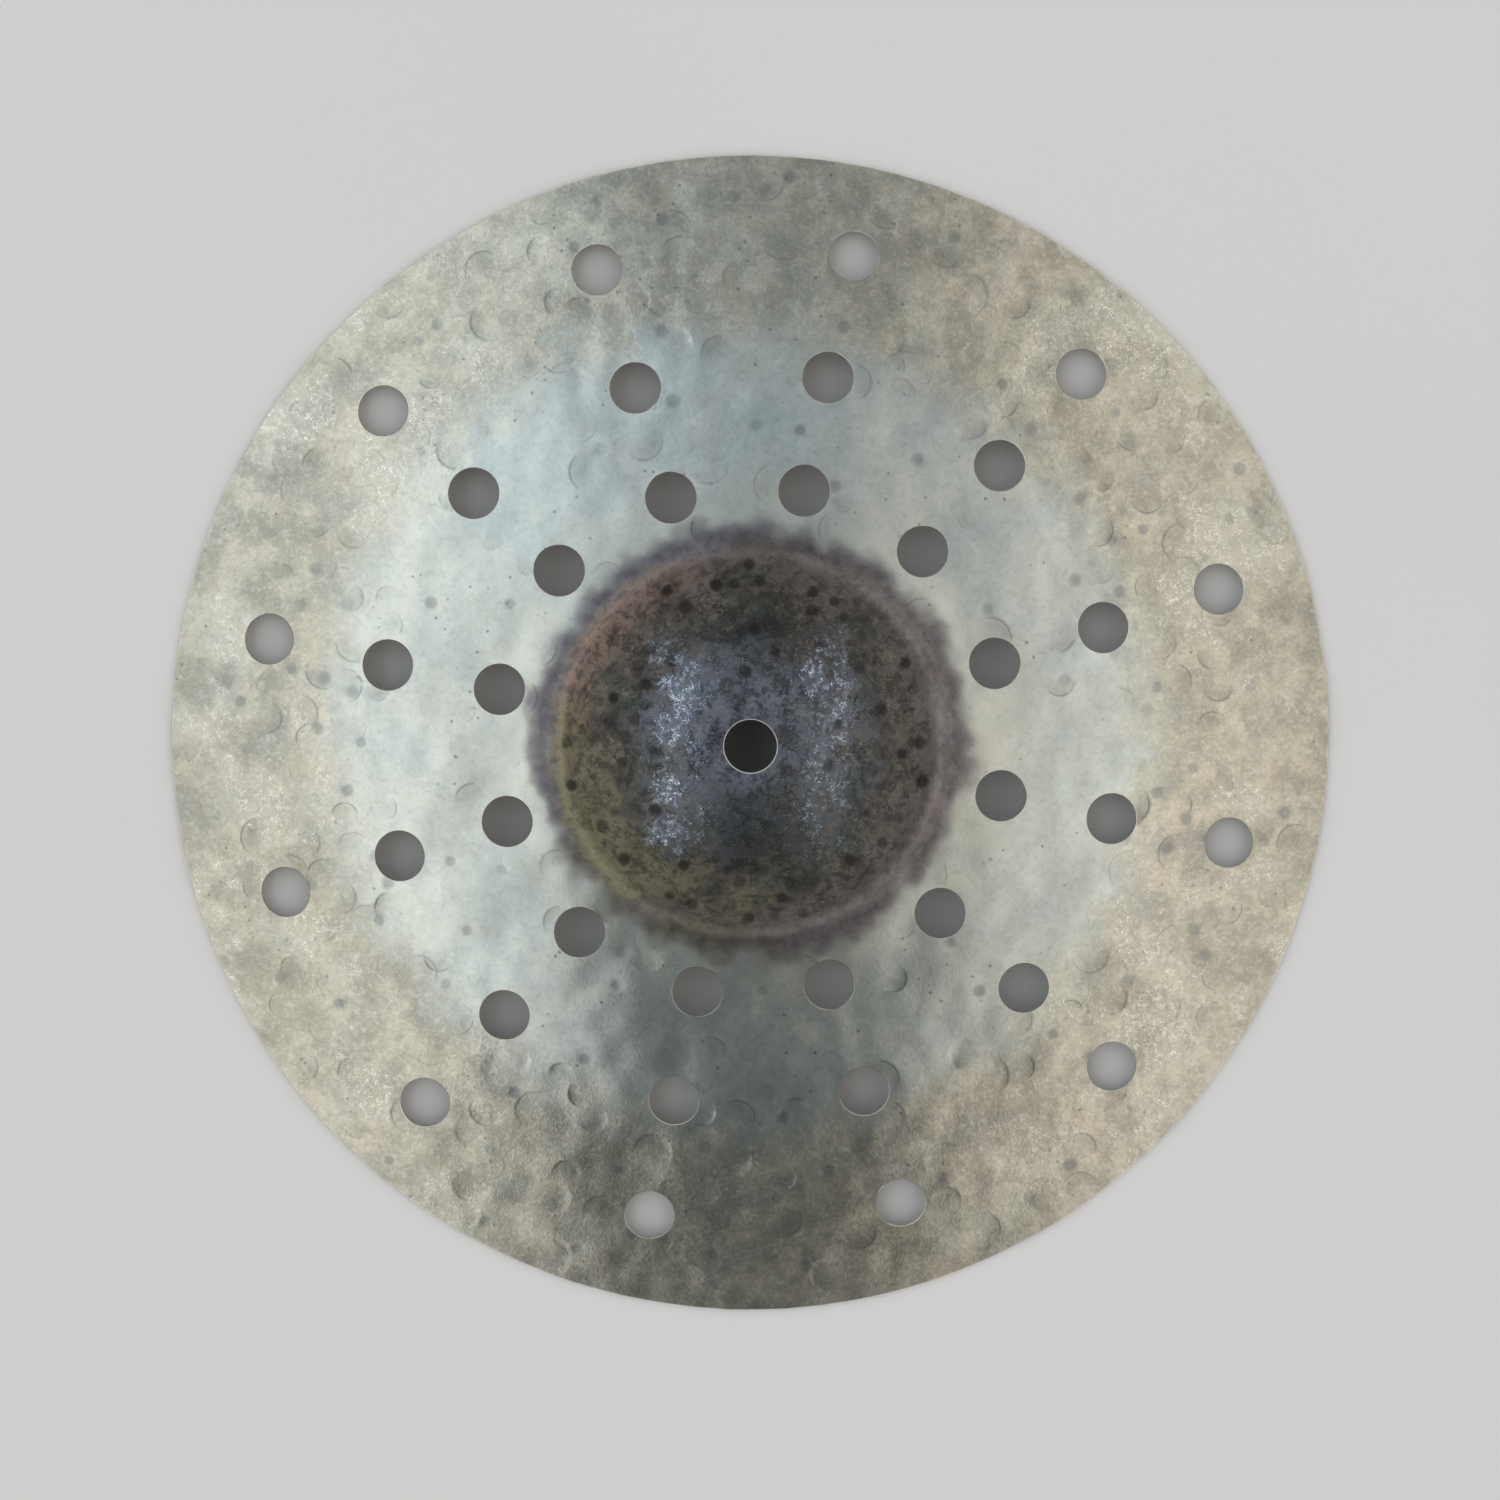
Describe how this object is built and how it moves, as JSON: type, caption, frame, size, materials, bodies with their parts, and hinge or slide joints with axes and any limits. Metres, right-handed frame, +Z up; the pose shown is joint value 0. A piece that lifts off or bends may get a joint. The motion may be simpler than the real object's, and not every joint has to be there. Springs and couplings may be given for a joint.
{
  "type": "effects cymbal",
  "caption": "Small hand-hammered bell-bronze cymbal with a raised bell, a central mounting hole and rings of drilled effect holes.",
  "frame": {"origin": "on the cymbal's axis, in the plane that the rim rests on", "axes": "+Z up through the bell, which is the side the drummer strikes; +X and +Y lie in the rim's plane, with a ray of holes 18 degrees from +X"},
  "size_m": [0.254, 0.254, 0.0258],
  "materials": {
    "bell_bronze": "unlathed, hand-hammered bell bronze with a thin grey-green patina and a dark heat-oxidised bell"
  },
  "bodies": {
    "root": {"cymbal": "bell_bronze"}
  },
  "joints": []
}
